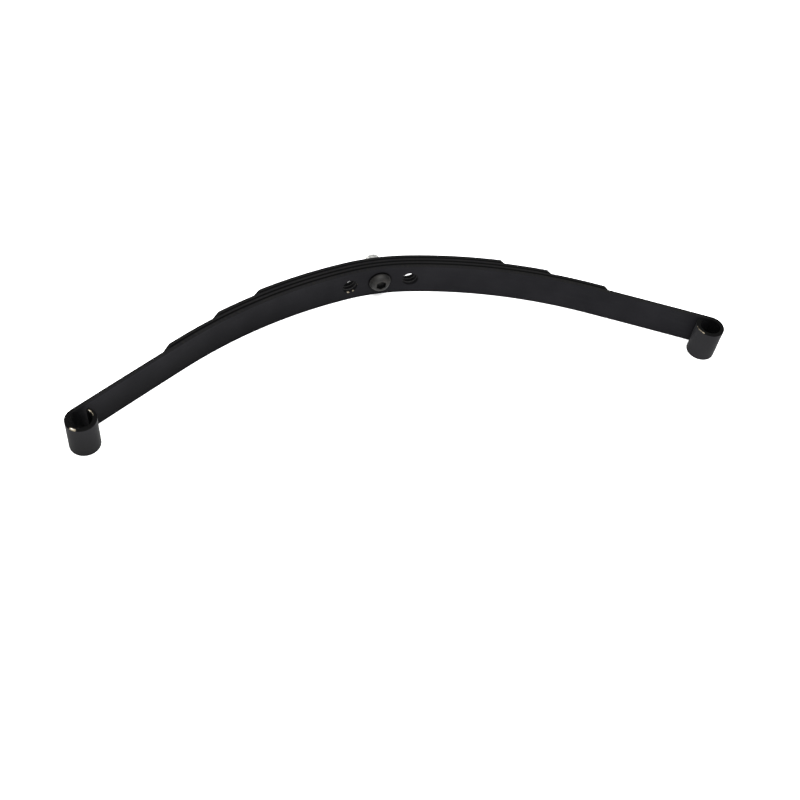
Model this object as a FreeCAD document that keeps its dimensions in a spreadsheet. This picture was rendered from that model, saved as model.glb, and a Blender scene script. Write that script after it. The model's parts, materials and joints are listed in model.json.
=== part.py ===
import FreeCAD
import Part
import Sketcher
import math
import os

# Four-leaf semi-elliptic leaf spring, lying on the side edges of its leaves.
# Frame, in millimetres: +X along the spring, +Y towards the convex side (up when the spring is
# mounted eyes-down), +Z across the leaves. The origin is on the centre bolt's axis, on the
# concave face of the main leaf, at the middle of its width.
#
# Every leaf is one continuous strip of spring steel. It bends over its whole length, so it is
# cut here at one flex line on each side of the seat, and each arm turns about that line on a
# round knuckle half-way through the leaf's thickness.

doc = FreeCAD.newDocument("leaf_spring")
sheet = doc.addObject("Spreadsheet::Sheet", "Dimensions")

DIMENSIONS = [
    # leaf section and stack
    ("leaf_width", 38.1),
    ("leaf_thickness", 4.5),
    ("leaf_gap", 0.3),
    # free shape: three tangent arcs each side, measured on the main leaf's concave face
    ("seat_radius", 223.0),
    ("mid_radius", 518.5),
    ("end_radius", 9690.0),
    ("seat_angle", 8.4),
    ("mid_angle", 22.4),
    ("end_angle", 0.768),
    # rolled eyes
    ("eye_bore_radius", 10.5),
    ("eye_wrap_angle", 295.0),
    # ends of the shorter leaves: how far each runs into the arc that it ends on, along the main
    # leaf's concave face
    ("second_tip_run", 22.8),
    ("third_tip_run", 161.8),
    ("fourth_tip_run", 110.8),
    ("trim_length", 12.0),
    ("trim_width", 10.0),
    # flex lines, in the mid arcs
    ("flex_angle", 6.55),
    ("knuckle_radius", 1.9),
    ("knuckle_play", 0.08),
    ("flex_slit", 0.85),
    # holes through the seat
    ("bolt_hole_radius", 6.25),
    ("side_hole_radius", 8.5),
    ("fourth_side_hole_radius", 12.5),
    ("side_hole_spacing", 68.0),
    # centre bolt, M12 flanged button head
    ("shank_radius", 6.0),
    ("head_stand", 0.33),
    ("head_height", 6.6),
    ("flange_radius", 12.0),
    ("flange_height", 1.4),
    ("dome_radius", 11.2),
    ("head_flat_radius", 7.4),
    ("dome_bulge_radius", 7.0),
    ("socket_across_flats", 10.0),
    ("socket_depth", 4.2),
    ("end_chamfer", 0.9),
    ("end_stand_out", 1.5),
    # washer and nylon-insert lock nut
    ("washer_radius", 12.0),
    ("washer_bore_radius", 6.5),
    ("washer_thickness", 2.5),
    ("nut_across_flats", 19.0),
    ("nut_hex_height", 10.5),
    ("nut_height", 14.0),
    ("nut_bore_radius", 6.05),
    ("collar_radius", 8.9),
    ("collar_lip_radius", 7.0),
    ("collar_lip_height", 0.8),
    ("insert_radius", 7.9),
    ("insert_bore_radius", 6.03),
    ("insert_height", 2.4),
    ("nut_chamfer_angle", 30.0),
    # how far cutting tools run past what they cut, and how far a hole's tool reaches each way
    ("overrun", 1.0),
    ("hole_tool_reach", 30.0),
]

# The share by which the hex socket's volume may differ from the exact hexagon's.
SOCKET_TOLERANCE = 0.02
# How close two points in a sketch lie when they are the same point.
SAME_POINT = 1e-6

for row, (alias, value) in enumerate(DIMENSIONS, start=1):
    sheet.set(f"A{row}", alias)
    sheet.set(f"B{row}", str(value))
    sheet.setAlias(f"B{row}", alias)
doc.recompute()


def dim(alias):
    """The expression that reads one cell of the sheet."""
    return f"Dimensions.{alias}"


def value_of(expression):
    """The number that an expression gives now."""
    return float(sheet.evalExpression(expression))


def bind(feature, expressions):
    """Drives properties of a feature from the sheet."""
    for name, expression in expressions.items():
        feature.setExpression(name, expression)
    return feature


def polar(centre, radius, angle):
    """The point at a radius and a polar angle about a centre, as two expressions."""
    x = f"({centre[0]} + ({radius}) * cos({angle}))"
    y = f"({centre[1]} + ({radius}) * sin({angle}))"
    return x, y


HALF_WIDTH = f"{dim('leaf_width')} / 2"
PITCH = f"({dim('leaf_thickness')} + {dim('leaf_gap')})"

# Polar angles where the right-hand arcs meet, and the centres of the arcs.
SEAT_END = f"(90 - {dim('seat_angle')})"
MID_END = f"({SEAT_END} - {dim('mid_angle')})"
ARM_END = f"({MID_END} - {dim('end_angle')})"
SEAT_CENTRE = ("0", f"(-{dim('seat_radius')})")
MID_CENTRE = polar(SEAT_CENTRE, f"{dim('seat_radius')} - {dim('mid_radius')}", SEAT_END)
END_CENTRE = polar(MID_CENTRE, f"{dim('mid_radius')} - {dim('end_radius')}", MID_END)
EYE_CENTRE = polar(END_CENTRE, f"{dim('end_radius')} - {dim('eye_bore_radius')}", ARM_END)
FLEX_LINE = f"({SEAT_END} - {dim('flex_angle')})"


def cylinder(name, centre, radius, height=None, start="0", sweep="360"):
    """A cylinder or a wedge of one along Z, centred on the leaves' width."""
    height = height or dim("leaf_width")
    return bind(
        doc.addObject("Part::Cylinder", name),
        {
            "Radius": radius,
            "Height": height,
            "Angle": sweep,
            "Placement.Base.x": centre[0],
            "Placement.Base.y": centre[1],
            "Placement.Base.z": f"-({height}) / 2",
            "Placement.Rotation.Angle": start,
        },
    )


def cut(name, base, tool):
    feature = doc.addObject("Part::Cut", name)
    feature.Base = base
    feature.Tool = tool
    return feature


def fuse(name, shapes):
    if len(shapes) == 1:
        return shapes[0]
    feature = doc.addObject("Part::MultiFuse", name)
    feature.Shapes = shapes
    return feature


def strip(name, centre, face_radius, start, end):
    """A curved stretch of leaf: its concave face's radius, and its polar angles."""
    outer_radius = f"{face_radius} + {dim('leaf_thickness')}"
    outer = cylinder(f"{name}_outer", centre, outer_radius, start=start, sweep=f"{end} - {start}")
    core_height = f"{dim('leaf_width')} + 2 * {dim('overrun')}"
    core = cylinder(f"{name}_core", centre, face_radius, height=core_height)
    return cut(name, outer, core)


# Turns a primitive's own Z axis to +Y.
ALONG_Y = FreeCAD.Rotation(FreeCAD.Vector(1, 0, 0), -90)


def round_across(name, x, radius):
    """A cylinder along Y through the whole stack, for a hole."""
    return bind(
        doc.addObject("Part::Cylinder", name),
        {
            "Radius": radius,
            "Height": f"2 * {dim('hole_tool_reach')}",
            "Placement.Base.x": x,
            "Placement.Base.y": f"-{dim('hole_tool_reach')}",
            "Placement.Base.z": "0",
        },
    )


def hole_tools(name, side_radius):
    """The centre-bolt hole and the two side holes of one leaf."""
    tools = [
        round_across(f"{name}_bolt_hole", "0", dim("bolt_hole_radius")),
        round_across(f"{name}_hole_r", f"{dim('side_hole_spacing')} / 2", side_radius),
        round_across(f"{name}_hole_l", f"-{dim('side_hole_spacing')} / 2", side_radius),
    ]
    for tool in tools:
        tool.Placement.Rotation = ALONG_Y
    return fuse(f"{name}_holes", tools)


def mirrored(spot):
    """The point on the other side of the bolt, as two expressions."""
    return f"(-{spot[0]})", spot[1]


def flex_centre(face_offset):
    """The right flex line's place on one leaf, half-way through its thickness."""
    middle = f"{dim('mid_radius')} + {face_offset} + {dim('leaf_thickness')} / 2"
    return polar(MID_CENTRE, middle, FLEX_LINE)


def seat_of(leaf, face_offset, side_radius):
    """The clamped middle of a leaf, with a round knuckle on each end."""
    seat_face = f"({dim('seat_radius')} + {face_offset})"
    mid_face = f"({dim('mid_radius')} + {face_offset})"
    left_start, left_end = f"(180 - {SEAT_END})", f"(180 - {FLEX_LINE})"
    knuckle = flex_centre(face_offset)
    pieces = [
        strip(f"{leaf}_crown", SEAT_CENTRE, seat_face, SEAT_END, left_start),
        strip(f"{leaf}_wing_right", MID_CENTRE, mid_face, FLEX_LINE, SEAT_END),
        strip(f"{leaf}_wing_left", mirrored(MID_CENTRE), mid_face, left_start, left_end),
        cylinder(f"{leaf}_knuckle_right", knuckle, dim("knuckle_radius")),
        cylinder(f"{leaf}_knuckle_left", mirrored(knuckle), dim("knuckle_radius")),
    ]
    blank = fuse(f"{leaf}_seat_blank", pieces)
    seat = cut(f"{leaf}_seat_body", blank, hole_tools(leaf, side_radius))
    seat.Label = f"{leaf}_seat"
    return seat


def corner_trim(name, centre, face_radius, tip_angle, top):
    """The wedge that cuts one corner off a leaf's end: local Y runs along the leaf."""
    base = polar(centre, face_radius, tip_angle)
    tangent = (f"sin({tip_angle})", f"-cos({tip_angle})")
    reach = f"({dim('trim_length')} + {dim('overrun')})"
    depth = f"({dim('trim_width')} * {reach} / {dim('trim_length')})"
    outside = f"({HALF_WIDTH} + {dim('overrun')})"
    edges = {"Zmin": HALF_WIDTH, "Z2min": f"{HALF_WIDTH} - {depth}", "Zmax": outside, "Z2max": outside}
    if not top:
        edges = {
            "Zmin": f"-{outside}",
            "Z2min": f"-{outside}",
            "Zmax": f"-{HALF_WIDTH}",
            "Z2max": f"-({HALF_WIDTH} - {depth})",
        }
    sides = {
        "Xmin": f"-({dim('leaf_thickness')} + {dim('overrun')})",
        "X2min": f"-({dim('leaf_thickness')} + {dim('overrun')})",
        "Xmax": dim("overrun"),
        "X2max": dim("overrun"),
        "Ymin": "0",
        "Ymax": reach,
    }
    place = {
        "Placement.Base.x": f"{base[0]} - {dim('trim_length')} * {tangent[0]}",
        "Placement.Base.y": f"{base[1]} - {dim('trim_length')} * {tangent[1]}",
        "Placement.Rotation.Angle": f"180 + {tip_angle}",
    }
    return bind(doc.addObject("Part::Wedge", name), {**sides, **edges, **place})


def arm_of(leaf, face_offset, tip_arc, tip_run):
    """A leaf's right arm and its mirror image. tip_arc is the arc that the leaf ends on: mid or end.
    With no tip_run the arm runs on into a rolled eye."""
    mid_face = f"({dim('mid_radius')} + {face_offset})"
    end_face = f"({dim('end_radius')} + {face_offset})"
    slit = f"(asin({dim('flex_slit')} / {mid_face}) / 1 deg)"
    root = f"({FLEX_LINE} - {slit})"
    if tip_arc == "mid":
        tip = f"({SEAT_END} - {tip_run} / {dim('mid_radius')} * 180 / pi)"
        tip_centre, tip_face = MID_CENTRE, mid_face
        pieces = [strip(f"{leaf}_arm_mid", MID_CENTRE, mid_face, tip, root)]
    else:
        tip = f"({MID_END} - {tip_run} / {dim('end_radius')} * 180 / pi)" if tip_run else ARM_END
        tip_centre, tip_face = END_CENTRE, end_face
        pieces = [
            strip(f"{leaf}_arm_mid", MID_CENTRE, mid_face, MID_END, root),
            strip(f"{leaf}_arm_end", END_CENTRE, end_face, tip, MID_END),
        ]
    if not tip_run:
        roll_end = f"({ARM_END} - {dim('eye_wrap_angle')})"
        pieces.append(strip(f"{leaf}_eye", EYE_CENTRE, dim("eye_bore_radius"), roll_end, ARM_END))
    blank = fuse(f"{leaf}_arm_blank", pieces)
    socket_radius = f"{dim('knuckle_radius')} + {dim('knuckle_play')}"
    tools = [cylinder(f"{leaf}_socket", flex_centre(face_offset), socket_radius)]
    if tip_run:
        for word, top in (("upper", True), ("lower", False)):
            tools.append(corner_trim(f"{leaf}_trim_{word}", tip_centre, tip_face, tip, top))
    right = cut(f"{leaf}_right_body", blank, fuse(f"{leaf}_arm_tools", tools))
    right.Label = f"{leaf}_right_arm"
    left = doc.addObject("Part::Mirroring", f"{leaf}_left_body")
    left.Source = right
    left.Normal = FreeCAD.Vector(1, 0, 0)
    left.Label = f"{leaf}_left_arm"
    return [left, right]


LEAVES = [
    ("main_leaf", "end", None, dim("side_hole_radius")),
    ("second_leaf", "end", dim("second_tip_run"), dim("side_hole_radius")),
    ("third_leaf", "mid", dim("third_tip_run"), dim("side_hole_radius")),
    ("fourth_leaf", "mid", dim("fourth_tip_run"), dim("fourth_side_hole_radius")),
]
nodes = []
for place, (leaf, tip_arc, tip_run, side_radius) in enumerate(LEAVES):
    offset = f"{place} * {PITCH}"
    nodes.append(seat_of(leaf, offset, side_radius))
    nodes.extend(arm_of(leaf, offset, tip_arc, tip_run))

# Where the hardware sits along Y: the head's underside rests on the concave face at its own
# rim, and the washer rests on the crown of the fourth leaf.
HEAD_TOP = f"-({dim('head_stand')} + {dim('head_height')})"
STACK_TOP = f"({len(LEAVES)} * {PITCH} - {dim('leaf_gap')})"
WASHER_TOP = f"({STACK_TOP} + {dim('washer_thickness')})"
NUT_TOP = f"({WASHER_TOP} + {dim('nut_height')})"


def plane_of(body, role):
    return next(feature for feature in body.Origin.OriginFeatures if feature.Role == role)


def new_sketch(body, name, role):
    sketch = body.newObject("Sketcher::SketchObject", name)
    sketch.AttachmentSupport = [(plane_of(body, role), "")]
    sketch.MapMode = "FlatFace"
    return sketch


def outline(sketch, corners, bulges=()):
    """A closed outline through corners given as expressions. bulges maps the number of a side to
    the radius of the arc that replaces its straight line."""
    bulges = dict(bulges)
    points = [FreeCAD.Vector(value_of(x), value_of(y), 0) for x, y in corners]
    count = len(points)
    for side in range(count):
        first, last = points[side], points[(side + 1) % count]
        if side in bulges:
            chord = last - first
            across = FreeCAD.Vector(chord.y, -chord.x, 0).normalize()
            radius = value_of(bulges[side])
            sagitta = radius - (radius**2 - (chord.Length / 2) ** 2) ** 0.5
            middle = (first + last) * 0.5 + across * sagitta
            sketch.addGeometry(Part.Arc(first, middle, last), False)
        else:
            sketch.addGeometry(Part.LineSegment(first, last), False)
    ends = []
    for side in range(count):
        curve = sketch.Geometry[side]
        start_first = (curve.StartPoint - points[side]).Length < SAME_POINT
        ends.append((1, 2) if start_first else (2, 1))
    for side in range(count):
        following = (side + 1) % count
        sketch.addConstraint(
            Sketcher.Constraint("Coincident", side, ends[side][1], following, ends[following][0])
        )
    for side, (x, y) in enumerate(corners):
        for axis, kind, expression in ((0, "DistanceX", x), (1, "DistanceY", y)):
            if expression == "0":
                line = -2 if axis == 0 else -1
                sketch.addConstraint(Sketcher.Constraint("PointOnObject", side, ends[side][0], line))
                continue
            number = sketch.addConstraint(
                Sketcher.Constraint(kind, -1, 1, side, ends[side][0], value_of(expression))
            )
            sketch.setExpression(f"Constraints[{number}]", expression)
    for side, radius in bulges.items():
        number = sketch.addConstraint(Sketcher.Constraint("Radius", side, value_of(radius)))
        sketch.setExpression(f"Constraints[{number}]", radius)


def hexagon(sketch, across_flats):
    """A regular hexagon about the sketch's origin, with a corner on its vertical axis."""
    radius = value_of(across_flats) / 2 / value_of("cos(30)")
    circle = Part.Circle(FreeCAD.Vector(0, 0, 0), FreeCAD.Vector(0, 0, 1), radius)
    corners = [circle.value(math.radians(30 + 60 * turn)) for turn in range(6)]
    for turn in range(6):
        sketch.addGeometry(Part.LineSegment(corners[turn], corners[(turn + 1) % 6]), False)
    guide = sketch.addGeometry(circle, True)
    sketch.addConstraint(Sketcher.Constraint("Coincident", guide, 3, -1, 1))
    for turn in range(6):
        sketch.addConstraint(Sketcher.Constraint("Coincident", turn, 2, (turn + 1) % 6, 1))
        sketch.addConstraint(Sketcher.Constraint("PointOnObject", turn, 1, guide))
    for turn in range(1, 6):
        sketch.addConstraint(Sketcher.Constraint("Equal", 0, turn))
    sketch.addConstraint(Sketcher.Constraint("PointOnObject", 1, 1, -2))
    number = sketch.addConstraint(Sketcher.Constraint("Radius", guide, radius))
    sketch.setExpression(f"Constraints[{number}]", f"{across_flats} / 2 / cos(30)")


def turned(label, corners, base_y, bulges=()):
    """A Body turned about the Y axis from an outline: x is the radius, y the height."""
    body = doc.addObject("PartDesign::Body", f"{label}_body")
    body.Label = label
    sketch = new_sketch(body, f"{label}_profile", "XY_Plane")
    outline(sketch, corners, bulges)
    feature = body.newObject("PartDesign::Revolution", f"{label}_turned")
    feature.Profile = sketch
    feature.ReferenceAxis = (sketch, ["V_Axis"])
    feature.Angle = 360
    body.setExpression("Placement.Base.y", base_y)
    doc.recompute()
    return body


flange_top = f"({dim('head_height')} - {dim('flange_height')})"
bolt_length = f"({dim('head_height')} + {dim('head_stand')} + {NUT_TOP} + {dim('end_stand_out')})"
bolt = turned(
    "centre_bolt",
    [
        ("0", "0"),
        (dim("head_flat_radius"), "0"),
        (dim("dome_radius"), flange_top),
        (dim("flange_radius"), flange_top),
        (dim("flange_radius"), dim("head_height")),
        (dim("shank_radius"), dim("head_height")),
        (dim("shank_radius"), f"{bolt_length} - {dim('end_chamfer')}"),
        (f"{dim('shank_radius')} - {dim('end_chamfer')}", bolt_length),
        ("0", bolt_length),
    ],
    HEAD_TOP,
    bulges={1: dim("dome_bulge_radius")},
)
solid_volume = bolt.Shape.Volume
socket_sketch = new_sketch(bolt, "socket_outline", "XZ_Plane")
hexagon(socket_sketch, dim("socket_across_flats"))
socket = bolt.newObject("PartDesign::Pocket", "hex_socket")
socket.Profile = socket_sketch
socket.setExpression("Length", dim("socket_depth"))
doc.recompute()
socket_volume = solid_volume - bolt.Shape.Volume
nodes.append(bolt)

washer = turned(
    "flat_washer",
    [
        (dim("washer_bore_radius"), "0"),
        (dim("washer_radius"), "0"),
        (dim("washer_radius"), dim("washer_thickness")),
        (dim("washer_bore_radius"), dim("washer_thickness")),
    ],
    STACK_TOP,
)
nodes.append(washer)

collar_top = f"({dim('nut_height')} - {dim('collar_lip_height')})"
insert_base = f"({collar_top} - {dim('insert_height')})"
collar = turned(
    "nut_collar",
    [
        (dim("nut_bore_radius"), "0"),
        (dim("collar_radius"), "0"),
        (dim("collar_radius"), collar_top),
        (dim("collar_lip_radius"), dim("nut_height")),
        (dim("collar_lip_radius"), collar_top),
        (dim("insert_radius"), collar_top),
        (dim("insert_radius"), insert_base),
        (dim("nut_bore_radius"), insert_base),
    ],
    WASHER_TOP,
)
corner_radius = f"({dim('nut_across_flats')} / 2 / cos(30))"
chamfer_drop = f"(({corner_radius} - {dim('nut_across_flats')} / 2) * tan({dim('nut_chamfer_angle')}))"
crown = turned(
    "nut_crown",
    [
        (dim("nut_bore_radius"), "0"),
        (f"{dim('nut_across_flats')} / 2", "0"),
        (corner_radius, chamfer_drop),
        (corner_radius, f"{dim('nut_hex_height')} - {chamfer_drop}"),
        (f"{dim('nut_across_flats')} / 2", dim("nut_hex_height")),
        (dim("nut_bore_radius"), dim("nut_hex_height")),
    ],
    WASHER_TOP,
)
prism = bind(
    doc.addObject("Part::Prism", "nut_prism"),
    {"Circumradius": corner_radius, "Height": dim("nut_hex_height"), "Placement.Base.y": WASHER_TOP},
)
prism.Placement.Rotation = ALONG_Y
hexagonal = doc.addObject("Part::Common", "nut_hexagon")
hexagonal.Base = crown
hexagonal.Tool = prism
nut = fuse("lock_nut_body", [hexagonal, collar])
nut.Label = "lock_nut"
nodes.append(nut)

insert = turned(
    "lock_nut_insert",
    [
        (dim("insert_bore_radius"), insert_base),
        (dim("insert_radius"), insert_base),
        (dim("insert_radius"), collar_top),
        (dim("insert_bore_radius"), collar_top),
    ],
    WASHER_TOP,
)
nodes.append(insert)

doc.recompute()

# Stop before writing if anything failed.
for feature in doc.Objects:
    if "Invalid" in feature.State or "Error" in feature.State:
        raise RuntimeError(f"{feature.Label} is {feature.State}")
for node in nodes:
    if node.Shape.isNull() or not node.Shape.isValid():
        raise RuntimeError(f"{node.Label} has no valid shape")
    if len(node.Shape.Solids) != 1:
        raise RuntimeError(f"{node.Label} has {len(node.Shape.Solids)} solids")
socket_expected = value_of(
    f"2 * sqrt(3) * ({dim('socket_across_flats')} / 2) ^ 2 * {dim('socket_depth')}"
)
if abs(socket_volume - socket_expected) > SOCKET_TOLERANCE * socket_expected:
    raise RuntimeError(f"the socket removed {socket_volume:.1f} mm3, not {socket_expected:.1f}")

os.makedirs("parts", exist_ok=True)
for node in nodes:
    node.Shape.exportStep(f"parts/{node.Label}.step")
    print(f"{node.Label:24s} {node.Shape.Volume:10.1f} mm3")
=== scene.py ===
import json
import math

import bmesh
import bpy
from mathutils import Matrix, Vector


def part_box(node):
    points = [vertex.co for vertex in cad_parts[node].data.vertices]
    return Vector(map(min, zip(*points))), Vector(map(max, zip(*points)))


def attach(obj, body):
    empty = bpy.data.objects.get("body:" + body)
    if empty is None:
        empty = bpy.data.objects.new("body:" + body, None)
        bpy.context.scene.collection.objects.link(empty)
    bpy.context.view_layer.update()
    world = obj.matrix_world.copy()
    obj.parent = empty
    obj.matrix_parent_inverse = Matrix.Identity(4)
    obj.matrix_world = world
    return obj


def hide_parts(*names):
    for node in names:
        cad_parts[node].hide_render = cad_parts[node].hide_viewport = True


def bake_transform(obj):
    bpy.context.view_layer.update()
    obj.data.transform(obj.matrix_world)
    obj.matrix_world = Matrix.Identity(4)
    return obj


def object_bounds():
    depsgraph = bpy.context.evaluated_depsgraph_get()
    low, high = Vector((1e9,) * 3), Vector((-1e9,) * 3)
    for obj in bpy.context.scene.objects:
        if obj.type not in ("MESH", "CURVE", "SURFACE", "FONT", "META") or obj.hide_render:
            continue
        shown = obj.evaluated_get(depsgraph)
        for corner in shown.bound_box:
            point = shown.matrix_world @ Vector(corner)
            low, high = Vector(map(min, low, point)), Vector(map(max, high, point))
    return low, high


# Four-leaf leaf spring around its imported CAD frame, in metres. +X runs along the spring, +Y points
# to the convex side and the nut, and +Z runs across the leaves, which lie on their side edges.

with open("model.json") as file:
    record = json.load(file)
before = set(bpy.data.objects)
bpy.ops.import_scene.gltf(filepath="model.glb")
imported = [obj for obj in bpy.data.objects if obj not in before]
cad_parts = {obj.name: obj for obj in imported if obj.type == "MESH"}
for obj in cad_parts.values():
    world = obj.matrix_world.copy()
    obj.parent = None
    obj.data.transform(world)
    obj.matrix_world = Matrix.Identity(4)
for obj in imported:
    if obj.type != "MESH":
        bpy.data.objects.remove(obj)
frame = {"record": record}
cad_low, cad_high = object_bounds()

MM = 0.001
MOUNTS = {mount["name"]: mount for mount in frame["record"]["mounts"]}

# ---------------------------------------------------------------------------------------------
# Dimensions
# ---------------------------------------------------------------------------------------------

# Leaf section and stack.
HALF_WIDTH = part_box("main_leaf_seat")[1].z
THICKNESS = 4.5 * MM
PITCH = 4.8 * MM
LEAVES = ["main", "second", "third", "fourth"]

# Concave face of the main leaf, right of the bolt: three tangent arcs, then the rolled eye.
SEAT_RADIUS = 223 * MM
MID_RADIUS = 518.5 * MM
END_RADIUS = 9690 * MM
SEAT_END = math.radians(90 - 8.4)
MID_END = SEAT_END - math.radians(22.4)
EYE_CENTRE = Vector(MOUNTS["right_eye"]["pos_m"]).to_2d()
EYE_BORE = MOUNTS["right_eye"]["dims"]["r_mm"] * MM
EYE_WRAP = math.radians(295)

# Leaf ends and edges. A narrow flat strip is held on each side of a rounding, so that only the
# rounding itself shades as one.
TRIM_LENGTH = 12 * MM
TRIM_WIDTH = 10 * MM
EDGE_ROUND = 0.9 * MM
HOLE_ROUND = 0.45 * MM
HOLD = 0.35 * MM
SHARP_ANGLE = math.radians(38)

# Holes through the seat.
BOLT_HOLE = 6.25 * MM
SIDE_HOLE = MOUNTS["seat_holes"]["dims"]["hole_r_mm"] * MM
FOURTH_SIDE_HOLE = 12.5 * MM
SIDE_HOLE_X = MOUNTS["seat_holes"]["dims"]["spacing_x_mm"] / 2 * MM

# Leaf mesh: where the holes' zones end along the leaf, the stretch after them over which the leaf's
# cross lines turn from upright to square, and how finely the leaf is divided.
BOLT_ZONE = 18 * MM
SIDE_ZONE = 50 * MM
UPRIGHT_FADE = 25 * MM
COLUMN = 5 * MM
ROWS = 12
ZONE_COLUMNS = 9
EYE_STEP = math.radians(6)
RING_SHARES = (0, 0.12, 0.38, 0.68, 1)
SAME_SPOT = 0.0001 * MM
ROUND_STEPS = 4

# Each leaf point tells the paint its wear and painted highlight, painted shade, shear and painted sheen.
SURFACE = ("wear_and_highlight", "shade", "sheared", "painted_sheen")

# Wear all along the leaves' edges, and painted highlights on the eyes' upper sides and round the main
# leaf's left hole. A highlighted place is its first and last angle, in degrees, and its strength. The
# left eye's bright spot runs a little way over the eye's outer rounding.
EDGE_WEAR = 0.25
LEFT_EYE_BRIGHT_HIGHLIGHT = (102, 123, 1.55)
LEFT_EYE_STREAK_HIGHLIGHT = (246, 286, 1.1)
RIGHT_EYE_RIM_HIGHLIGHT = (198, 246, 0.85)
HOLE_HIGHLIGHTS = ((251, 263, 1.35), (290, 303, 1.35), (-6, 10, 0.8))
HIGHLIGHT_FADE = 5
BRIGHT_HIGHLIGHT_SHARES = {"side": 1.0, "round": 0.7, "face": 0.0}

# How dark the painted shade on the holes' walls and the eyes' insides and sides is, how strong the
# painted sheen on the eyes' outsides is, and how far before an eye's roll its painted shade and sheen
# begin.
HOLE_SHADE = 0.5
EYE_SHADE = 0.85
EYE_PAINTED_SHEEN = 0.187
EYE_SHADE_AND_SHEEN_REACH = 16 * MM


def ray(angle):
    """The unit vector at a polar angle in the XY plane."""
    return Vector((math.cos(angle), math.sin(angle)))


# ---------------------------------------------------------------------------------------------
# Leaves
# ---------------------------------------------------------------------------------------------


def arcs_of(rank):
    """The arcs of a leaf's concave face, right of the bolt: centre, radius, first polar angle, sweep."""
    offset = rank * PITCH
    seat_centre = Vector((0, -SEAT_RADIUS))
    mid_centre = seat_centre + (SEAT_RADIUS - MID_RADIUS) * ray(SEAT_END)
    end_centre = mid_centre + (MID_RADIUS - END_RADIUS) * ray(MID_END)
    to_eye = EYE_CENTRE - end_centre
    arm_end = math.atan2(to_eye.y, to_eye.x)
    arcs = [
        (seat_centre, SEAT_RADIUS + offset, math.pi / 2, math.pi / 2 - SEAT_END),
        (mid_centre, MID_RADIUS + offset, SEAT_END, SEAT_END - MID_END),
        (end_centre, END_RADIUS + offset, MID_END, MID_END - arm_end),
    ]
    if rank == 0:
        arcs.append((EYE_CENTRE, EYE_BORE, arm_end, EYE_WRAP))
        return arcs
    # A shorter leaf stops where its CAD arm does: at the polar angle of its end's outer corner.
    tip_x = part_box(f"{LEAVES[rank]}_leaf_right_arm")[1].x
    kept = []
    for centre, radius, start, sweep in arcs:
        tip_cosine = (tip_x - centre.x) / (radius + THICKNESS)
        if math.cos(start) < tip_cosine < math.cos(start - sweep):
            return kept + [(centre, radius, start, start - math.acos(tip_cosine))]
        kept.append((centre, radius, start, sweep))
    return kept


def length_of(arcs):
    return sum(radius * sweep for _, radius, _, sweep in arcs)


def along_at(arcs, u):
    """Arc length at a flat place u, which is the row's own x up to the end of the side hole's zone."""
    x = min(u, SIDE_ZONE)
    passed = 0.0
    for centre, radius, start, sweep in arcs:
        angle = math.acos((x - centre.x) / radius)
        if angle >= start - sweep:
            break
        passed += radius * sweep
    return passed + radius * (start - angle) + max(0.0, u - SIDE_ZONE)


def point_at(arcs, u, depth):
    """The point at a flat place u and a depth into the leaf. The holes' walls are parallel to Y."""
    rest = along_at(arcs, u)
    for number, (centre, radius, start, sweep) in enumerate(arcs):
        if rest <= radius * sweep or number == len(arcs) - 1:
            break
        rest -= radius * sweep
    angle = start - rest / radius
    if u < SIDE_ZONE + UPRIGHT_FADE:
        upright = math.acos(radius * math.cos(angle) / (radius + depth))
        share = 1 - max(0.0, (u - SIDE_ZONE) / UPRIGHT_FADE)
        angle += share * (upright - angle)
    return centre + (radius + depth) * ray(angle)


class Blank:
    """A leaf's concave face laid flat: points (u, z), and faces that wind anticlockwise."""

    def __init__(self):
        self.points = []
        self.faces = []
        self.index = {}
        self.rounds = {}

    def point(self, spot):
        key = (round(spot[0] / SAME_SPOT), round(spot[1] / SAME_SPOT))
        if key not in self.index:
            self.index[key] = len(self.points)
            self.points.append(Vector(spot))
        return self.index[key]

    def patch(self, lines):
        """Fills between lines of points that all have the same count."""
        for first, second in zip(lines, lines[1:]):
            for k in range(len(first) - 1):
                spots = [first[k], first[k + 1], second[k + 1], second[k]]
                turn = (spots[1] - spots[0]).cross(spots[3] - spots[0])
                corners = [self.point(spot) for spot in spots]
                self.faces.append(corners if turn > 0 else corners[::-1])

    def around_hole(self, centre, radius, outline):
        """Fills from a round hole to an outline, and marks the hole's edge."""
        centre = Vector(centre)
        rim = [centre + (spot - centre).normalized() * radius for spot in outline]
        lines = [[a.lerp(b, share) for a, b in zip(rim, outline)] for share in RING_SHARES]
        self.patch(lines)
        for spot in rim:
            self.rounds[self.point(spot)] = HOLE_ROUND

    def rims(self):
        """Directed edges with a face on one side only, without those on the seam at u = 0."""
        sides = {(a, b) for face in self.faces for a, b in zip(face, face[1:] + face[:1])}
        seam = {n for n, spot in enumerate(self.points) if abs(spot.x) < SAME_SPOT}
        open_sides = sorted(side for side in sides if side[::-1] not in sides)
        return [(a, b) for a, b in open_sides if not (a in seam and b in seam)]


def evenly(first, last, count):
    """Points from first up to, and without, last."""
    return [first.lerp(last, k / count) for k in range(count)]


def rectangle(u0, u1, half):
    """Outline of a hole's zone, clockwise from its upper left corner."""
    top_left, top_right = Vector((u0, half)), Vector((u1, half))
    low_right, low_left = Vector((u1, -half)), Vector((u0, -half))
    return (
        evenly(top_left, top_right, ZONE_COLUMNS)
        + evenly(top_right, low_right, ROWS)
        + evenly(low_right, low_left, ZONE_COLUMNS),
        evenly(low_left, top_left, ROWS) + [top_left],
    )


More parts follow.
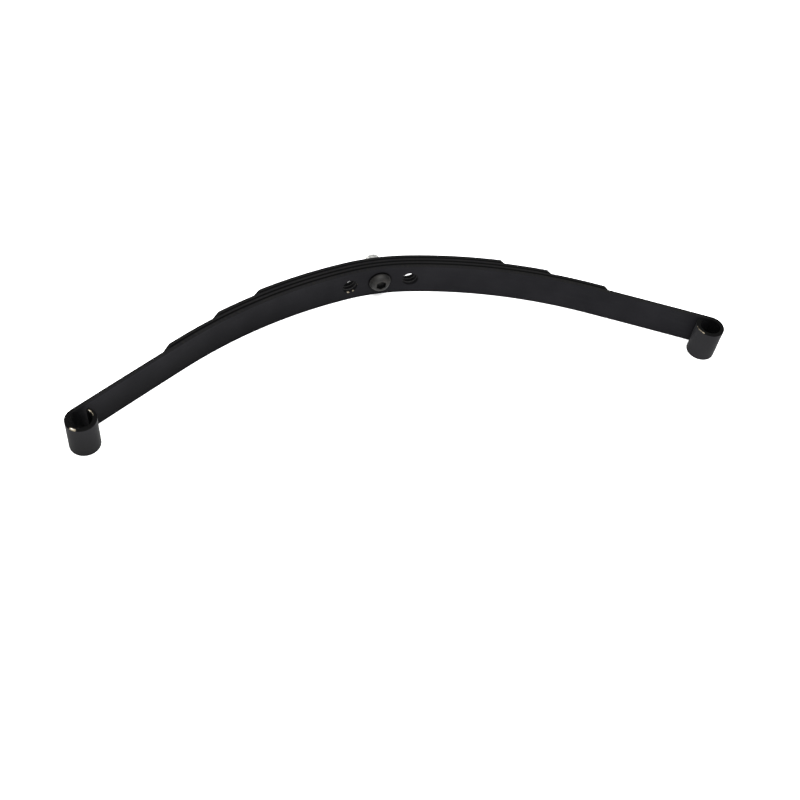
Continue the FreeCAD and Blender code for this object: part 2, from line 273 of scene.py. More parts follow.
def blank_of(arcs, side_hole, trimmed):
    """The flat face of a leaf's right half, set in by its edges' rounding."""
    inset = EDGE_ROUND + HOLD
    half = HALF_WIDTH - inset
    blank = Blank()
    open_side, left_side = rectangle(0, BOLT_ZONE, half)
    blank.around_hole((0, 0), BOLT_HOLE + HOLE_ROUND + HOLD, open_side + left_side[:1])
    open_side, left_side = rectangle(BOLT_ZONE, SIDE_ZONE, half)
    blank.around_hole((SIDE_HOLE_X, 0), side_hole + HOLE_ROUND + HOLD, open_side + left_side)

    tip = length_of(arcs) - along_at(arcs, SIDE_ZONE) + SIDE_ZONE
    columns = []
    if trimmed:
        slant = math.hypot(TRIM_LENGTH, TRIM_WIDTH)
        shoulder = tip - TRIM_LENGTH - inset * (slant - TRIM_LENGTH) / TRIM_WIDTH
        end_half = HALF_WIDTH - (inset * slant + (TRIM_LENGTH - inset) * TRIM_WIDTH) / TRIM_LENGTH
        columns += [(tip - inset, end_half)]
    else:
        shoulder = tip - EYE_BORE * EYE_WRAP
        turns = round(EYE_WRAP / EYE_STEP)
        rolled = EYE_BORE * EYE_WRAP - inset
        columns += [(shoulder + rolled * k / turns, half) for k in range(1, turns + 1)]
    count = math.ceil((shoulder - SIDE_ZONE) / COLUMN)
    plain = [(SIDE_ZONE + (shoulder - SIDE_ZONE) * k / count, half) for k in range(count + 1)]
    lines = []
    for u, reach in plain + columns:
        lines.append([Vector((u, reach * (2 * row / ROWS - 1))) for row in range(ROWS + 1)])
    blank.patch(lines)
    return blank


def wall_profile(radius):
    """From the concave face over the edge to the convex face: (outward, depth, place)."""
    turn = [math.pi / 2 * k / ROUND_STEPS for k in range(1, ROUND_STEPS + 1)]
    front = [(HOLD, 0.0, "face")]
    front += [(HOLD + radius * math.sin(a), radius * (1 - math.cos(a)), "round") for a in turn]
    front += [(HOLD + radius, radius + HOLD, "side")]
    return front + [(out, THICKNESS - depth, place) for out, depth, place in reversed(front)]


def outward_at(blank, rims):
    """For each edge point, the step that moves both of its edges outward by one."""
    normals = {}
    for a, b in rims:
        run = (blank.points[b] - blank.points[a]).normalized()
        for end in (a, b):
            normals.setdefault(end, []).append(Vector((run.y, -run.x)))
    outward = {}
    for end, sides in normals.items():
        if len(sides) == 1:
            outward[end] = Vector((0, math.copysign(1, sides[0].y)))
        else:
            outward[end] = (sides[0] + sides[1]) / (1 + sides[0].dot(sides[1]))
    return outward


def highlight_at(angle, places):
    """The painted highlight at an angle in degrees, which fades at the ends of the highlighted places.
    """
    wear_and_highlight = 0.0
    for first, last, most in places:
        inside = min(angle - first, last - angle) / HIGHLIGHT_FADE
        wear_and_highlight = max(wear_and_highlight, most * min(1.0, max(0.0, 1 + inside)))
    return wear_and_highlight


def hole_highlight(side, spot):
    """Painted highlight at a point on the rim of one of the main leaf's holes. Only the left side hole
    has any.
    """
    if side > 0 or spot.x < BOLT_ZONE:
        return 0.0
    angle = math.degrees(math.atan2(spot.y, SIDE_HOLE_X - spot.x))
    return max(highlight_at(angle, HOLE_HIGHLIGHTS), highlight_at(angle + 360, HOLE_HIGHLIGHTS))


def eye_highlight(side, wrap, place, concave):
    """Painted highlights on an eye's upper side at an angle round its roll: a bright spot on the left
    eye's outer edge, a tan streak nearer its bore, and a tan line on the right eye's outer edge."""
    if side > 0:
        return highlight_at(wrap, [RIGHT_EYE_RIM_HIGHLIGHT]) * (place == "round" and not concave)
    if concave:
        return highlight_at(wrap, [LEFT_EYE_STREAK_HIGHLIGHT]) * (place == "side")
    return highlight_at(wrap, [LEFT_EYE_BRIGHT_HIGHLIGHT]) * BRIGHT_HIGHLIGHT_SHARES[place]


def eye_share(arcs, along):
    """How much of the eye's painted shade and painted sheen there is: it grows from 0 to 1 towards the
    eye.
    """
    reach = along - (length_of(arcs) - EYE_BORE * EYE_WRAP - EYE_SHADE_AND_SHEEN_REACH)
    return min(1.0, max(0.0, reach / EYE_SHADE_AND_SHEEN_REACH))


def leaf_half(rank, side):
    """One half of a leaf, from the bolt to its end: side is 1 for the right and -1 for the left."""
    arcs = arcs_of(rank)
    side_hole = FOURTH_SIDE_HOLE if rank == len(LEAVES) - 1 else SIDE_HOLE
    blank = blank_of(arcs, side_hole, trimmed=rank > 0)
    rims = blank.rims()
    outward = outward_at(blank, rims)
    next_tip = length_of(arcs_of(rank + 1)) if rank < len(LEAVES) - 1 else 0.0

    def surface_at(spot, depth, place, on_hole):
        """A point's wear and painted highlight, painted shade, shear and painted sheen."""
        along = along_at(arcs, spot.x)
        concave = depth < THICKNESS / 2
        main_concave = rank == 0 and concave
        on_rounding = place == "round" and not on_hole
        covered = rank > 0 if concave else along < next_tip
        wear_and_highlight = EDGE_WEAR if on_rounding else 0.0
        # Painted shade in the grooves between the leaves.
        shade = float(covered and on_rounding)
        sheared = float(place != "face" and not on_hole)
        # Painted highlight on the rounded rims of the holes.
        painted_sheen = float(on_hole and place == "round" and not main_concave)
        # Painted highlights round the main leaf's left side hole.
        if main_concave and on_hole and place != "face":
            wear_and_highlight = hole_highlight(side, spot)
        if rank == 0:
            wrap = math.degrees(EYE_WRAP - (length_of(arcs) - along) / EYE_BORE)
            # Painted highlights on the eyes' upper sides.
            if wrap > 0 and spot.y > 0:
                wear_and_highlight = max(wear_and_highlight, eye_highlight(side, wrap, place, concave))
            if concave or place != "face":
                shade = max(shade, EYE_SHADE * eye_share(arcs, along))
            else:
                # Painted sheen on the eye's outer face.
                painted_sheen = EYE_PAINTED_SHEEN * eye_share(arcs, along)
        if on_hole and place == "side":
            shade = HOLE_SHADE
        return wear_and_highlight, shade, sheared, painted_sheen

    spots = []
    for depth in (0.0, THICKNESS):
        for spot in blank.points:
            spots.append((spot.x, spot.y, depth, *surface_at(spot, depth, "face", False)))
    back = len(blank.points)
    rings = {}
    for end, step in outward.items():
        rings[end] = [end]
        on_hole = end in blank.rounds
        for out, depth, place in wall_profile(blank.rounds.get(end, EDGE_ROUND)):
            spot = blank.points[end] + step * out
            rings[end].append(len(spots))
            spots.append((spot.x, spot.y, depth, *surface_at(spot, depth, place, on_hole)))
        rings[end].append(back + end)

    faces = [list(face) for face in blank.faces]
    faces += [[back + corner for corner in reversed(face)] for face in blank.faces]
    for a, b in rims:
        for k in range(len(rings[a]) - 1):
            faces.append([rings[b][k], rings[a][k], rings[a][k + 1], rings[b][k + 1]])

    corners = []
    flat = []
    for u, z, depth, *_ in spots:
        x, y = point_at(arcs, u, depth)
        corners.append((side * x, y, z))
        flat.append((side * along_at(arcs, u), depth + rank * PITCH, z))
    word = "right" if side > 0 else "left"
    leaf = make_mesh(f"{LEAVES[rank]}_leaf_{word}_half", corners, faces)
    store(leaf, "flat", "FLOAT_VECTOR", "vector", flat)
    for column, name in enumerate(SURFACE, start=3):
        store(leaf, name, "FLOAT", "value", [spot[column] for spot in spots])
    return leaf


def make_mesh(name, corners, faces):
    """A closed, smooth-shaded mesh object: open rims are capped, and sharp edges stay sharp."""
    mesh = bpy.data.meshes.new(name)
    mesh.from_pydata(corners, [], faces)
    shape = bmesh.new()
    shape.from_mesh(mesh)
    bmesh.ops.holes_fill(shape, edges=[edge for edge in shape.edges if edge.is_boundary], sides=0)
    bmesh.ops.recalc_face_normals(shape, faces=shape.faces)
    for face in shape.faces:
        face.smooth = True
    for edge in shape.edges:
        edge.smooth = edge.calc_face_angle(0) < SHARP_ANGLE
    shape.to_mesh(mesh)
    shape.free()
    piece = bpy.data.objects.new(name, mesh)
    bpy.context.scene.collection.objects.link(piece)
    return piece


def store(piece, name, kind, field, values):
    """Stores one value for each vertex, for the materials to read."""
    attribute = piece.data.attributes.new(name, kind, "POINT")
    flat_values = [n for value in values for n in value] if field == "vector" else values
    attribute.data.foreach_set(field, flat_values)


def add_leaf(rank, side, material):
    """A leaf half, in place of its CAD seat and arm."""
    word = "right" if side > 0 else "left"
    name = LEAVES[rank]
    leaf = leaf_half(rank, side)
    leaf.data.materials.append(material)
    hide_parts(f"{name}_leaf_seat", f"{name}_leaf_{word}_arm")
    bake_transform(leaf)


# ---------------------------------------------------------------------------------------------
# Hardware, turned about Y
# ---------------------------------------------------------------------------------------------

# How finely turned pieces are divided round the axis, and a thread along it.
SEGMENTS = 96
THREAD_ROWS = 10

# Bolt thread: its root's flat and its flank as shares of half the pitch.
THREAD_PITCH = 1.75 * MM
THREAD_DEPTH = 0.95 * MM
THREAD_TURNS = 3
ROOT_FLAT = 0.12
FLANK = 0.7


def hexagon(across_flats, turned_by=0.0):
    """The radius of a hexagon at an angle, with a corner at turned_by."""
    sixth = math.pi / 3
    return lambda a: across_flats / 2 / math.cos((a - turned_by) % sixth - sixth / 2)


def bulge(first, last, radius, count):
    """Points of an arc that bulges outward from first to last, without last: (radius, height)."""
    first, last = Vector(first), Vector(last)
    chord = last - first
    across = Vector((chord.y, -chord.x)).normalized()
    rise = math.sqrt(radius**2 - (chord.length / 2) ** 2)
    centre = (first + last) / 2 - across * rise
    start = math.atan2(first.y - centre.y, first.x - centre.x)
    sweep = 2 * math.asin(chord.length / 2 / radius)
    return [tuple(centre + radius * ray(start + sweep * k / count)) for k in range(count)]


def turned(name, rings, hollow=False):
    """A solid turned about Y. A ring is (radius, height): numbers, or functions of the angle.
    A hollow one closes on itself; any other has a point on the axis at each end."""
    corners, rows, faces = [], [], []
    for radius, height in rings:
        row = []
        if radius == 0:
            row = [len(corners)] * SEGMENTS
            corners.append((0, height, 0))
        else:
            for k in range(SEGMENTS):
                angle = 2 * math.pi * k / SEGMENTS
                r = radius(angle) if callable(radius) else radius
                y = height(angle) if callable(height) else height
                row.append(len(corners))
                corners.append((r * math.cos(angle), y, r * math.sin(angle)))
        rows.append(row)
    if hollow:
        rows.append(rows[0])
    for first, second in zip(rows, rows[1:]):
        for k in range(SEGMENTS):
            following = (k + 1) % SEGMENTS
            face = [first[k], first[following], second[following], second[k]]
            faces.append(list(dict.fromkeys(face)))
    return make_mesh(name, corners, faces)


def add_hardware(piece, material, node):
    """Gives a piece that rides on the seat its material and the CAD node it replaces."""
    piece.data.materials.append(material)
    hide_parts(node)
    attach(piece, "seat")


def thread_radius(height, root, crest, end, chamfer):
    """Radius of a screw thread at a height, as a function of the angle. Its end is cut to a cone."""
    def radius(angle):
        turn = (height / THREAD_PITCH - angle / (2 * math.pi)) % 1
        flank = abs(2 * turn - 1)
        shape = min(1.0, max(0.0, (flank - ROOT_FLAT) / FLANK))
        return min(root + (crest - root) * shape, crest - chamfer + (end - height))
    return radius


def add_bolt(material):
    """Flanged button-head bolt with a hex socket and a threaded end."""
    low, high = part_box("centre_bolt")
    top, end, flange = low.y, high.y, high.x
    shank, chamfer = 6.0 * MM, 0.9 * MM
    flat, inner_flat, dome, dome_bulge = 7.4 * MM, 6.7 * MM, 11.2 * MM, 7.0 * MM
    dome_steps = 14
    flange_top = top + 5.2 * MM
    underside = flange_top + 1.4 * MM
    soft = 0.3 * MM
    across, floor = 10.0 * MM, top + 4.2 * MM
    drill_point, drill_lip = floor + 0.9 * MM, floor + 0.25 * MM
    corner_up = math.pi / 6
    socket = hexagon(across, corner_up)
    rings = [
        (0, drill_point),
        (hexagon(across * 0.55, corner_up), drill_lip),
        (hexagon(across * 0.97, corner_up), floor),
        (socket, floor - soft),
        (socket, top + 2 * soft),
        (socket, top + soft),
        (hexagon(across + 2 * soft, corner_up), top),
        (inner_flat, top),
        (flat - soft, top),
    ]
    rings += bulge((flat, top + 0.05 * MM), (dome, flange_top - soft), dome_bulge, dome_steps)
    rings += [
        (dome, flange_top - soft),
        (dome + 0.1 * MM, flange_top - 0.05 * MM),
        (flange - 2 * soft / 3, flange_top + 0.03 * MM),
        (flange - soft / 3, flange_top + 0.1 * MM),
        (flange, flange_top + soft),
        (flange, underside - soft),
        (flange - soft / 3, underside - 0.1 * MM),
        (flange - soft, underside),
        (shank + 2 * soft, underside),
        (shank + 0.1 * MM, underside + 0.1 * MM),
        (shank, underside + 2 * soft),
    ]
    thread_start = end - THREAD_TURNS * THREAD_PITCH
    rings += [(shank, thread_start - soft)]
    root = shank - THREAD_DEPTH
    steps = THREAD_TURNS * THREAD_ROWS
    for k in range(steps):
        height = thread_start + (end - thread_start) * k / steps
        rings.append((thread_radius(height, root, shank, end, chamfer), height))
    centre_mark, mark_depth = 2.4 * MM, 0.6 * MM
    rings += [
        (shank - chamfer - 0.15 * MM, end),
        (centre_mark, end),
        (2 / 3 * centre_mark, end - 0.35 * MM),
        (0, end - mark_depth),
    ]
    add_hardware(turned("bolt", rings), material, "centre_bolt")


def add_washer(material):
    """Flat washer with softened edges."""
    low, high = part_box("flat_washer")
    outer, bore, soft = high.x, 6.5 * MM, 0.35 * MM
    rings = []
    for height, into in ((low.y, 1), (high.y, -1)):
        edge = [
            (bore + 2 * soft, height),
            (outer - 2 * soft, height),
            (outer - soft, height + into * 0.04 * MM),
            (outer - 0.3 * soft, height + into * 0.3 * soft),
            (outer, height + into * soft),
        ]
        inner = [(bore, height + into * soft), (bore + 0.3 * soft, height + into * 0.3 * soft)]
        rings += inner + edge if into > 0 else edge[::-1] + inner[::-1]
    washer = turned("washer", rings, hollow=True)
    add_hardware(washer, material, "flat_washer")


def add_nut(material):
    """Lock nut: a hexagon with cone-cut corners, and a round collar rolled over its insert."""
    low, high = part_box("lock_nut")
    base, top = low.y, high.y
    across, bore, bore_chamfer = 19.0 * MM, 6.05 * MM, 0.8 * MM
    hex_top = base + 10.5 * MM
    collar, lip, seat = 8.9 * MM, 7.0 * MM, 7.9 * MM
    roll_height, roll_bulge, roll_steps = 1.5 * MM, 2.0 * MM, 8
    seat_top = top - 0.8 * MM
    seat_base = seat_top - 2.4 * MM
    washer_face = 0.96 * across / 2
    slope = math.tan(math.radians(30))
    corner = hexagon(across)

    def drop(angle):
        """How far the cone has cut the hexagon's end down at an angle."""
        return (corner(angle) - washer_face) * slope

    soft = 0.25 * MM
    rings = [
        (bore, base + bore_chamfer),
        (bore + bore_chamfer, base),
        (washer_face - soft, base),
        (washer_face, base + 0.04 * MM),
        (lambda a: corner(a) - soft / 2, lambda a: base + drop(a) - soft / 2),
        (corner, lambda a: base + drop(a) + soft),
        (corner, lambda a: base + drop(a) + 3 * soft),
        (corner, lambda a: hex_top - drop(a) - 3 * soft),
        (corner, lambda a: hex_top - drop(a) - soft),
        (lambda a: corner(a) - soft / 2, lambda a: hex_top - drop(a) + soft / 2),
        (washer_face, hex_top - 0.04 * MM),
        (collar + soft, hex_top),
        (collar + 0.07 * MM, hex_top + 0.07 * MM),
        (collar, hex_top + soft),
        (collar, hex_top + 2 * soft),
    ]
    rolled_to = lip + 0.4 * MM
    rings += bulge((collar, top - roll_height), (rolled_to, top), roll_bulge, roll_steps)
    rings += [
        (rolled_to, top),
        (lip + 0.1 * MM, top - 0.05 * MM),
        (lip, top - 0.3 * MM),
        (lip, seat_top),
        (seat, seat_top),
        (seat, seat_base),
        (bore + 0.3 * MM, seat_base),
        (bore, seat_base - 0.3 * MM),
    ]
    add_hardware(turned("nut", rings, hollow=True), material, "lock_nut")


def add_insert(material):
    """Nylon ring with softened edges and an eased top to its bore."""
    low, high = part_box("lock_nut_insert")
    outer, bore, lip, soft = high.x, 6.03 * MM, 7.0 * MM, 0.3 * MM
    rings = [
        (bore, low.y + soft),
        (bore + soft, low.y),
        (outer - soft, low.y),
        (outer, low.y + soft),
        (outer, high.y),
        (lip, high.y),
        (bore + 0.6 * MM, high.y - 0.03 * MM),
        (bore + 0.2 * MM, high.y - 0.15 * MM),
        (bore, high.y - 0.5 * MM),
    ]
    insert = turned("nut_insert", rings, hollow=True)
    add_hardware(insert, material, "lock_nut_insert")


# ---------------------------------------------------------------------------------------------
# Materials
# ---------------------------------------------------------------------------------------------


def add(tree, kind, inputs=None, **settings):
    """A node with its settings, its inputs given as numbers or as sockets to link."""
    node = tree.nodes.new(kind)
    for name, value in settings.items():
        setattr(node, name, value)
    for name, value in (inputs or {}).items():
        if isinstance(value, bpy.types.NodeSocket):
            tree.links.new(value, node.inputs[name])
        else:
            node.inputs[name].default_value = value
    return node


def new_material(name, metallic, specular):
    """A material with an empty Principled shader: the material, its node tree and the shader."""
    material = bpy.data.materials.new(name)
    material.use_nodes = True
    tree = material.node_tree
    shader = tree.nodes["Principled BSDF"]
    shader.inputs["Metallic"].default_value = metallic
    shader.inputs["Specular IOR Level"].default_value = specular
    return material, tree, shader


def scaled(tree, vector, factors):
    """A vector stretched by a factor along each axis."""
    return add(tree, "ShaderNodeVectorMath", {0: vector, 1: factors}, operation="MULTIPLY").outputs[0]


def noise(tree, vector, scale, detail=3.0, roughness=0.5):
    inputs = {"Vector": vector, "Scale": scale, "Detail": detail, "Roughness": roughness}
    return add(tree, "ShaderNodeTexNoise", inputs).outputs["Fac"]


def spread(tree, value, low, high, first=0.0, last=1.0):
    """Maps low..high to first..last, and holds it there."""
    inputs = {"Value": value, "From Min": low, "From Max": high, "To Min": first, "To Max": last}
    return add(tree, "ShaderNodeMapRange", inputs).outputs["Result"]


def times(tree, first, second):
    return add(tree, "ShaderNodeMath", {0: first, 1: second}, operation="MULTIPLY").outputs[0]


def between(tree, value, start, full_from, full_to, end):
    """1 from full_from to full_to, fading to 0 at start and at end."""
    return times(tree, spread(tree, value, start, full_from), spread(tree, value, end, full_to))


def from_y_axis(tree, vector):
    """How far a place is from the Y axis."""
    flattened = scaled(tree, vector, (1, 0, 1))
    return add(tree, "ShaderNodeVectorMath", {0: flattened}, operation="LENGTH").outputs["Value"]


def mixed(tree, share, first, second):
    """A colour between two others."""
    node = tree.nodes.new("ShaderNodeMix")
    node.data_type = "RGBA"
    for socket, value in ((0, share), (6, first), (7, second)):
        if isinstance(value, bpy.types.NodeSocket):
            tree.links.new(value, node.inputs[socket])
        else:
            node.inputs[socket].default_value = value
    return node.outputs[2]


def bumped(tree, shader, layers):
    """Stacks bumps on a shader: each layer is a height, its strength and its depth in metres."""
    normal = None
    for height, strength, depth in layers:
        inputs = {"Height": height, "Strength": strength, "Distance": depth}
        if normal:
            inputs["Normal"] = normal
        normal = add(tree, "ShaderNodeBump", inputs).outputs["Normal"]
    tree.links.new(normal, shader.inputs["Normal"])


def dress(tree, shader, base, roughness, layers):
    """Links a shader's colour, roughness and bumps."""
    tree.links.new(base, shader.inputs["Base Color"])
    tree.links.new(roughness, shader.inputs["Roughness"])
    bumped(tree, shader, layers)


def grey(value, warmth=0.0):
    """A grey, a little red for positive warmth and a little blue for negative."""
    return (value * (1 + warmth), value, value * (1 - warmth), 1)


# Paint: the clean film, its cut edges, its painted shade, shadow and sheen, and the tan and near-white
# of its wear and painted highlights.
FILM_DARK = (0.0058, 0.0057, 0.0066, 1)
FILM_LIGHT = (0.0076, 0.0075, 0.0086, 1)
STREAK_TONE = grey(0.0115, -0.04)
DUST_TONE = grey(0.05, 0.05)
SHEARED_TONE = grey(0.0014, 0.05)
ROUGH_EDGE_TONE = (0.0062, 0.0060, 0.0056, 1)
LOW_SHADE_TONE = grey(0.0008, -0.1)
PAINTED_SHEEN_TONE = grey(0.03)
SHADE_TONE = grey(0.0012)
HEAD_SHADOW_TONE = grey(0.0004)
RUBBED_AND_LIT_TONE = (0.22, 0.19, 0.14, 1)
BRIGHT_HIGHLIGHT_TONE = grey(0.7)

# How strong some of these are, at most, and how much of the low painted shade is left at the right.
STREAK_SHARE = 0.5
DUST_SHARE = 0.2
SHEARED_SHARE = 0.45
RUBBED_AND_LIT_SHARE = 0.7
LOW_SHADE_SHARE = 0.9
RIGHT_LOW_SHADE_SHARE = 0.12

# Where the painted shade on the leaves' lower side grows along the leaf towards its left end, and the
# radii between which the painted shadow round the bolt's head fades.
LOW_SHADE_RUN = (50 * MM, -150 * MM)
HEAD_SHADOW_RADII = (13.8 * MM, 12.8 * MM)

# Bolt: its oxide, and heights and radii at which the painted shade in the socket and on the flange fades
# in and out.
OXIDE_COOL = grey(0.008, -0.04)
OXIDE_WARM = grey(0.014, 0.10)
OXIDE_GRAIN = grey(0.030, 0.08)
SOCKET_SHADE_TONE = grey(0.0015, -0.1)
FLANGE_SHADE_TONE = grey(0.0012)
SOCKET_HEIGHTS = (-6.7 * MM, -6.2 * MM, -2.5 * MM, -2.0 * MM)
SOCKET_RADII = (6.2 * MM, 5.9 * MM)
FLANGE_HEIGHTS = (-1.8 * MM, -1.5 * MM, -0.5 * MM, -0.3 * MM)

ZINC_DULL = (0.20, 0.21, 0.22, 1)
ZINC_BRIGHT = (0.55, 0.54, 0.50, 1)
NYLON_DARK = (0.72, 0.71, 0.64, 1)
NYLON_LIGHT = (0.84, 0.83, 0.78, 1)


def clean_film(tree, flat, cloud, streak):
    """Clean paint: a little cloudy, with rolling streaks and specks of dust."""
    specks = add(tree, "ShaderNodeTexVoronoi", {"Vector": flat, "Scale": 210.0}).outputs["Distance"]
    dust = times(tree, spread(tree, specks, 0.05, 0.02), spread(tree, cloud, 0.5, 0.62))
    base = mixed(tree, spread(tree, cloud, 0.35, 0.65), FILM_DARK, FILM_LIGHT)
    base = mixed(tree, spread(tree, streak, 0.55, 0.8, last=STREAK_SHARE), base, STREAK_TONE)
    return mixed(tree, times(tree, dust, DUST_SHARE), base, DUST_TONE)


def low_painted_shade(tree, flat, base):
    """Painted shade towards the lower side of the leaves, mostly at the left."""
    parts = add(tree, "ShaderNodeSeparateXYZ", {"Vector": flat}).outputs
    low = spread(tree, parts["Z"], HALF_WIDTH, -HALF_WIDTH, last=LOW_SHADE_SHARE)
    leftward = spread(tree, parts["X"], *LOW_SHADE_RUN, first=RIGHT_LOW_SHADE_SHARE)
    return mixed(tree, times(tree, low, leftward), base, LOW_SHADE_TONE)


def rubbed_and_highlighted(tree, flat, wear_and_highlight, base):
    """Patchy wear and painted highlights: tan where either is strong, a near-white painted highlight
    where strongest.
    """
    patches = noise(tree, flat, scale=240.0, detail=5.0, roughness=0.65)
    rubbed_and_lit = add(tree, "ShaderNodeMath", {0: times(tree, wear_and_highlight, 0.5), 1: patches}).outputs[0]
    base = mixed(tree, spread(tree, rubbed_and_lit, 0.84, 0.98, last=RUBBED_AND_LIT_SHARE), base, RUBBED_AND_LIT_TONE)
    return mixed(tree, spread(tree, rubbed_and_lit, 1.15, 1.25), base, BRIGHT_HIGHLIGHT_TONE)


def painted_steel():
    """Satin black paint over rolled steel: fine orange peel, rolling streaks, dust, sheared edges,
    rubbed corners, painted highlights and sheen on the eyes and holes, and painted shade low on the
    leaves, between them, in the eyes and round the bolt's head."""
    material, tree, shader = new_material("satin_black_paint", metallic=0.0, specular=0.012)
    flat = add(tree, "ShaderNodeAttribute", attribute_name="flat").outputs["Vector"]
    wear_and_highlight, shade, sheared, painted_sheen = (
        add(tree, "ShaderNodeAttribute", attribute_name=name).outputs["Fac"] for name in SURFACE
    )
    along = scaled(tree, flat, (0.06, 1, 1))
    cut = scaled(tree, flat, (1, 0.35, 1))
    cloud = noise(tree, flat, scale=28.0, detail=4.0)
    streak = noise(tree, along, scale=420.0, detail=4.0, roughness=0.6)
    shear = noise(tree, cut, scale=420.0, detail=5.0, roughness=0.7)
    peel = noise(tree, flat, scale=760.0, detail=2.0)
    grain = noise(tree, flat, scale=2600.0, detail=2.0)
    rough_edge = times(tree, sheared, spread(tree, shear, 0.42, 0.62))
    head_shadow = spread(tree, from_y_axis(tree, flat), *HEAD_SHADOW_RADII)

    base = clean_film(tree, flat, cloud, streak)
    base = mixed(tree, times(tree, sheared, SHEARED_SHARE), base, SHEARED_TONE)
    base = mixed(tree, rough_edge, base, ROUGH_EDGE_TONE)
    # Painted shade towards the leaves' lower side, mostly at the left.
    base = low_painted_shade(tree, flat, base)
    # Painted sheen on the eyes' outer faces, and painted highlights on the holes' rims.
    base = mixed(tree, painted_sheen, base, PAINTED_SHEEN_TONE)
    # Painted shade between the leaves, in the eyes and on the holes' walls.
    base = mixed(tree, shade, base, SHADE_TONE)
    # Painted shadow on the leaf round the bolt's head.
    base = mixed(tree, head_shadow, base, HEAD_SHADOW_TONE)
    # Wear along the edges, and painted highlights on the eyes and round the left side hole.
    base = rubbed_and_highlighted(tree, flat, wear_and_highlight, base)
    layers = [
        (cloud, 0.12, 0.4 * MM),
        (peel, 0.22, 0.05 * MM),
        (grain, 0.15, 0.01 * MM),
        (rough_edge, 0.3, 0.06 * MM),
    ]
    dress(tree, shader, base, spread(tree, streak, 0.3, 0.75, 0.42, 0.56), layers)
    return material


def black_oxide():
    """Blackened bolt steel in patches of cool and warm grey, with turning marks, and painted shade in
    its socket and on its flange."""
    material, tree, shader = new_material("black_oxide", metallic=0.6, specular=0.22)
    spot = add(tree, "ShaderNodeTexCoord").outputs["Object"]
    height = add(tree, "ShaderNodeSeparateXYZ", {"Vector": spot}).outputs["Y"]
    cloud = noise(tree, spot, scale=160.0, detail=4.0)
    grain = noise(tree, spot, scale=3200.0)
    lathe = noise(tree, scaled(tree, spot, (0.15, 1, 0.15)), scale=1500.0, detail=2.0)
    near_axis = spread(tree, from_y_axis(tree, spot), *SOCKET_RADII)
    in_socket = times(tree, between(tree, height, *SOCKET_HEIGHTS), near_axis)
    on_flange = between(tree, height, *FLANGE_HEIGHTS)

    base = mixed(tree, spread(tree, cloud, 0.3, 0.7), OXIDE_COOL, OXIDE_WARM)
    base = mixed(tree, spread(tree, grain, 0.62, 0.8), base, OXIDE_GRAIN)
    # Painted shade in the socket's recess and on the flange.
    base = mixed(tree, in_socket, base, SOCKET_SHADE_TONE)
    base = mixed(tree, on_flange, base, FLANGE_SHADE_TONE)
    layers = [(lathe, 0.12, 0.03 * MM), (grain, 0.25, 0.015 * MM)]
    dress(tree, shader, base, spread(tree, cloud, 0.3, 0.7, 0.52, 0.66), layers)
    return material


def zinc_plate():
    """Bright zinc plate with a faint crystalline bloom and handling scratches."""
    material, tree, shader = new_material("bright_zinc", metallic=1.0, specular=0.5)
    spot = add(tree, "ShaderNodeTexCoord").outputs["Object"]
    bloom = noise(tree, spot, scale=420.0, detail=5.0, roughness=0.6)
    scratch = noise(tree, scaled(tree, spot, (1, 0.08, 1)), scale=1800.0)
    base = mixed(tree, spread(tree, bloom, 0.3, 0.7), ZINC_DULL, ZINC_BRIGHT)
    layers = [(bloom, 0.1, 0.03 * MM), (scratch, 0.12, 0.01 * MM)]
    dress(tree, shader, base, spread(tree, bloom, 0.3, 0.7, 0.22, 0.38), layers)
    return material


def nylon():
    """Natural nylon: off-white, with a faint moulding texture."""
    material, tree, shader = new_material("natural_nylon", metallic=0.0, specular=0.5)
    spot = add(tree, "ShaderNodeTexCoord").outputs["Object"]
    cloud = noise(tree, spot, scale=500.0)
    grain = noise(tree, spot, scale=2400.0, detail=2.0)
    base = mixed(tree, spread(tree, cloud, 0.3, 0.7), NYLON_DARK, NYLON_LIGHT)
    dress(tree, shader, base, spread(tree, cloud, 0.3, 0.7, 0.4, 0.5), [(grain, 0.15, 0.01 * MM)])
    return material


# ---------------------------------------------------------------------------------------------
# Stage, light and camera
# ---------------------------------------------------------------------------------------------

FLOOR_HALF = 4.0
FLOOR_ROUGHNESS = 0.8
WORLD_STRENGTH = 1.1
CAMERA_PLACE = Vector((-0.291715, -0.805205, 0.818421))
CAMERA_HEADING = math.radians(22.7332)
CAMERA_DROP = math.radians(49.7660)
CAMERA_ROLL = math.radians(-9.0006)
CAMERA_SENSOR = 36.0
CAMERA_LENS = 48.545
CAMERA_CLIP = (0.01, 50)


def add_floor():
    """A plain pale floor under the leaves' side edges."""
    material, tree, shader = new_material("pale_floor", metallic=0.0, specular=0.2)
    spot = add(tree, "ShaderNodeTexCoord").outputs["Object"]
    base = mixed(tree, noise(tree, spot, scale=3.0, detail=2.0), grey(0.90), grey(0.93))
    tree.links.new(base, shader.inputs["Base Color"])
    shader.inputs["Roughness"].default_value = FLOOR_ROUGHNESS
    square = ((-1, -1), (1, -1), (1, 1), (-1, 1))
    corners = [(x * FLOOR_HALF, y * FLOOR_HALF, cad_low.z) for x, y in square]
    mesh = bpy.data.meshes.new("floor")
    mesh.from_pydata(corners, [], [(0, 1, 2, 3)])
    mesh.materials.append(material)
    floor = bpy.data.objects.new("floor", mesh)
    bpy.context.scene.collection.objects.link(floor)


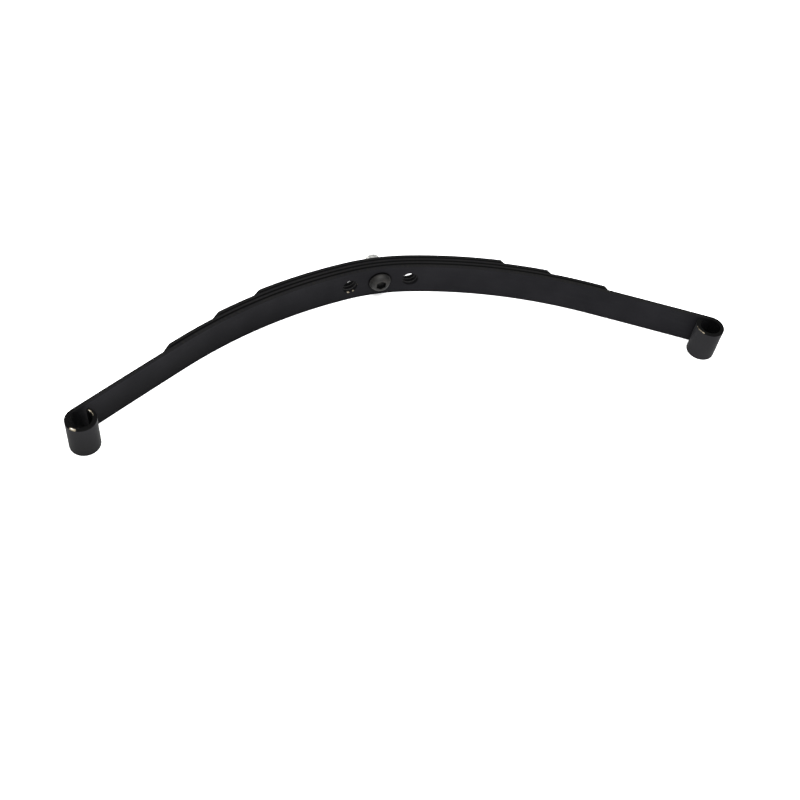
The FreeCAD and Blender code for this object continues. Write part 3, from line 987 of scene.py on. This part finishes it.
def add_light(name, position, power, size):
    """A square soft light that points at the spring's middle."""
    data = bpy.data.lights.new(name, "AREA")
    data.energy = power
    data.size = size
    light = bpy.data.objects.new(name, data)
    light.location = position
    light.rotation_euler = (-Vector(position)).to_track_quat("-Z", "Y").to_euler()
    bpy.context.scene.collection.objects.link(light)


def add_lighting():
    """A white studio with a large soft light overhead and a smaller one in front."""
    world = bpy.data.worlds.new("studio")
    world.use_nodes = True
    background = world.node_tree.nodes["Background"]
    background.inputs["Color"].default_value = (1, 1, 1, 1)
    background.inputs["Strength"].default_value = WORLD_STRENGTH
    bpy.context.scene.world = world
    bpy.context.scene.view_settings.view_transform = "Standard"
    add_light("overhead", position=(0.1, -0.25, 2.0), power=95.0, size=1.6)
    add_light("front", position=(-0.4, -1.8, 1.0), power=22.0, size=1.0)


def add_camera():
    """A camera turned from +Y by its heading, tipped down by its drop, then rolled."""
    level_ahead = Vector((math.sin(CAMERA_HEADING), math.cos(CAMERA_HEADING), 0))
    forward = level_ahead * math.cos(CAMERA_DROP) - Vector((0, 0, math.sin(CAMERA_DROP)))
    level = Vector((math.cos(CAMERA_HEADING), -math.sin(CAMERA_HEADING), 0))
    upright = level.cross(forward)
    right = math.cos(CAMERA_ROLL) * level - math.sin(CAMERA_ROLL) * upright
    up = math.sin(CAMERA_ROLL) * level + math.cos(CAMERA_ROLL) * upright
    data = bpy.data.cameras.new("camera")
    data.sensor_width = CAMERA_SENSOR
    data.lens = CAMERA_LENS
    data.clip_start, data.clip_end = CAMERA_CLIP
    camera = bpy.data.objects.new("camera", data)
    turn = Matrix((right, up, -forward)).transposed().to_4x4()
    camera.matrix_world = Matrix.Translation(CAMERA_PLACE) @ turn
    bpy.context.scene.collection.objects.link(camera)
    bpy.context.scene.camera = camera


# ---------------------------------------------------------------------------------------------
# The scene
# ---------------------------------------------------------------------------------------------

add_camera()
add_lighting()
add_floor()
paint = painted_steel()
for rank in range(len(LEAVES)):
    for side in (-1, 1):
        add_leaf(rank, side, paint)
zinc = zinc_plate()
add_bolt(black_oxide())
add_washer(zinc)
add_nut(zinc)
add_insert(nylon())
